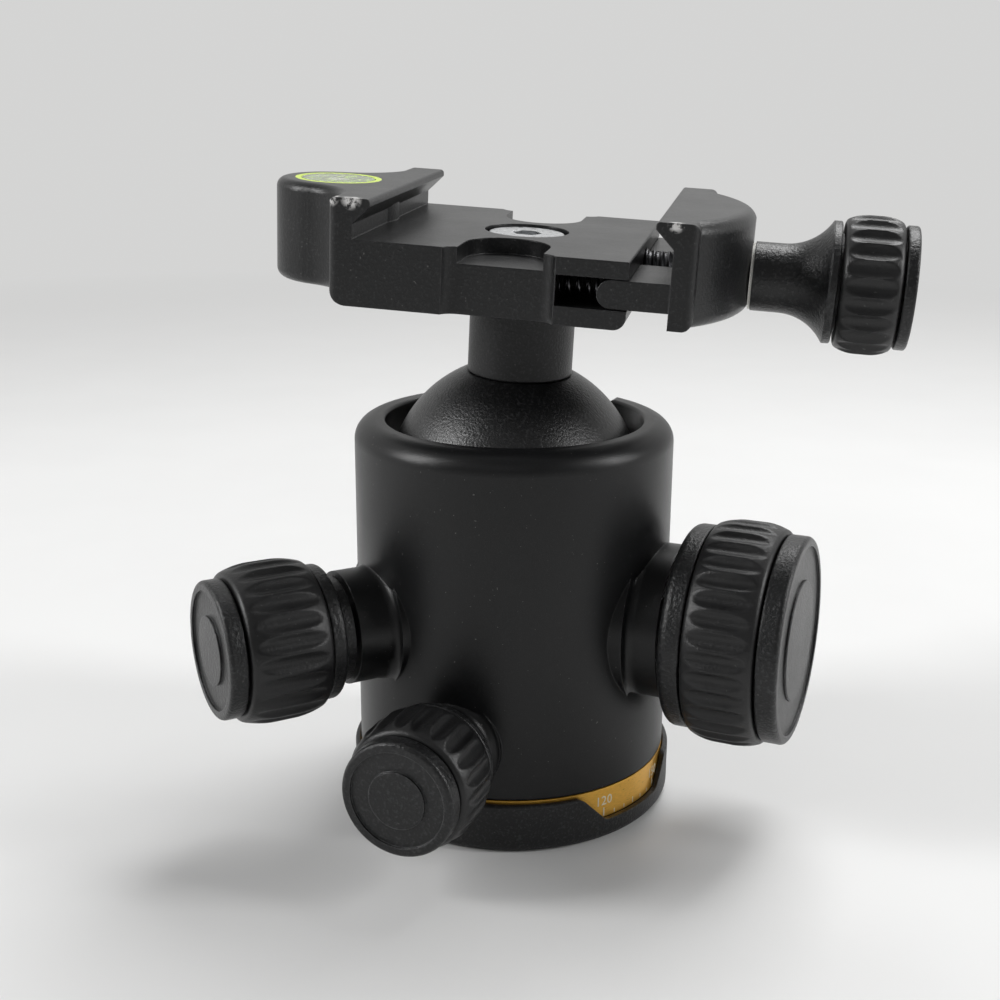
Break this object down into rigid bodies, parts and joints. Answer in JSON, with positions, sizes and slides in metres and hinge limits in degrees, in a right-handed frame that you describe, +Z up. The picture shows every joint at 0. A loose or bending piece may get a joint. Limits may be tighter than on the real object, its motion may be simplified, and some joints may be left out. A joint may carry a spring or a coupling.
{
  "type": "tripod ball head",
  "caption": "Panning tripod ball head: a split housing with brake knobs holds a ball whose stem carries a dovetail quick-release clamp with a screw-driven jaw and a bubble level.",
  "frame": {"origin": "centre of the base's underside, at the mouth of the tripod screw's hole", "axes": "+Z up along the panning axis, -Y towards the side seen in the picture, +X to its right"},
  "size_m": [0.0976, 0.0628, 0.0894],
  "materials": {
    "black": "bead-blasted black anodised",
    "satin": "satin black anodised",
    "knob_metal": "fine-grained black anodised",
    "rubber": "matte black",
    "steel": "satin",
    "brass": "satin",
    "gold": "gold anodised",
    "plastic": "natural white, low-friction",
    "level": "clear, yellow-green inside",
    "level_clear": "clear"
  },
  "bodies": {
    "base": {"base_disc": "black", "base_screws": "steel", "pan_spindle": "steel", "pan_washer": "plastic", "spindle_nut": "steel"},
    "housing": {"housing": "satin", "degree_ring": "gold", "pan_bearing": "satin", "thrust_washer": "steel", "upper_seat": "plastic", "lower_cup": "steel", "disc_springs": "steel", "main_bush": "brass", "friction_bush": "brass", "pan_bush": "brass"},
    "seat": {"seat_liner": "plastic"},
    "ball": {"ball": "black"},
    "clamp": {"stem": "satin", "anti_twist_pin": "steel", "centre_bolt": "steel", "clamp_base": "satin", "level_cup": "level", "level_fluid": "level", "level_bubble": "level", "level_lens": "level_clear", "jaw_springs": "steel"},
    "jaw": {"moving_jaw": "satin"},
    "clamp_knob": {"clamp_screw": "steel", "clamp_clip": "steel", "clamp_washer_ring": "plastic", "clamp_knob_hub": "knob_metal", "clamp_knob_grip": "rubber", "clamp_knob_cap": "knob_metal"},
    "main_brake": {"main_tip": "brass"},
    "main_knob": {"main_stud": "steel", "main_hub": "knob_metal", "main_grip_ring": "rubber", "main_cap_plate": "knob_metal", "main_cap_disc": "knob_metal"},
    "friction_brake": {"friction_tip": "brass"},
    "friction_knob": {"friction_stud": "steel", "friction_hub": "knob_metal", "friction_grip_ring": "rubber", "friction_cap_plate": "knob_metal"},
    "pan_brake": {"pan_tip": "brass"},
    "pan_knob": {"pan_stud": "steel", "pan_hub": "knob_metal", "pan_grip_ring": "rubber", "pan_cap_plate": "knob_metal"}
  },
  "joints": [
    {"name": "pan_turn", "type": "hinge", "parent": "base", "child": "housing", "pos_m": [0, 0, 0], "axis": [0, 0, 1], "continuous": true},
    {"name": "ball_swing", "type": "hinge", "parent": "housing", "child": "seat", "pos_m": [0, 0, 0.0466], "axis": [0, 0, 1], "range_deg": [-360, 0]},
    {"name": "ball_tilt", "type": "hinge", "parent": "seat", "child": "ball", "pos_m": [0, 0, 0.0466], "axis": [-0.9189, 0.3901, 0.0583], "range_deg": [-36, 91.7]},
    {"name": "head_turn", "type": "hinge", "parent": "ball", "child": "clamp", "pos_m": [0, 0, 0.0466], "axis": [0.0419, -0.0506, 0.9978], "continuous": true},
    {"name": "jaw_slide", "type": "slide", "parent": "clamp", "child": "jaw", "axis": [0.9806, -0.1895, -0.0507], "range_m": [-0.00501, 0.00141], "deforming": ["jaw_springs"]},
    {"name": "clamp_knob_turn", "type": "hinge", "parent": "jaw", "child": "clamp_knob", "pos_m": [0.04057, -0.00922, 0.07682], "axis": [0.9806, -0.1895, -0.0507], "range_deg": [-1800, 504]},
    {"name": "main_brake_slide", "type": "slide", "parent": "housing", "child": "main_brake", "axis": [0.9205, -0.3907, 0], "range_m": [0, 0.0015]},
    {"name": "main_knob_turn", "type": "hinge", "parent": "main_brake", "child": "main_knob", "pos_m": [0.02762, -0.01172, 0.029], "axis": [0.9205, -0.3907, 0], "range_deg": [0, 540]},
    {"name": "friction_brake_slide", "type": "slide", "parent": "housing", "child": "friction_brake", "axis": [-0.8771, -0.4802, 0], "range_m": [0, 0.0015]},
    {"name": "friction_knob_turn", "type": "hinge", "parent": "friction_brake", "child": "friction_knob", "pos_m": [-0.02631, -0.01441, 0.029], "axis": [-0.8771, -0.4802, 0], "range_deg": [0, 540]},
    {"name": "pan_brake_slide", "type": "slide", "parent": "housing", "child": "pan_brake", "axis": [-0.3665, -0.9304, 0], "range_m": [0, 0.0015]},
    {"name": "pan_knob_turn", "type": "hinge", "parent": "pan_brake", "child": "pan_knob", "pos_m": [-0.01099, -0.02791, 0.01505], "axis": [-0.3665, -0.9304, 0], "range_deg": [0, 540]}
  ],
  "couplings": [
    {"joint": "jaw_slide", "follows": "clamp_knob_turn", "m_per_rad": 0.00015915},
    {"joint": "main_brake_slide", "follows": "main_knob_turn", "m_per_rad": 0.00015915},
    {"joint": "friction_brake_slide", "follows": "friction_knob_turn", "m_per_rad": 0.00015915},
    {"joint": "pan_brake_slide", "follows": "pan_knob_turn", "m_per_rad": 0.00015915}
  ]
}
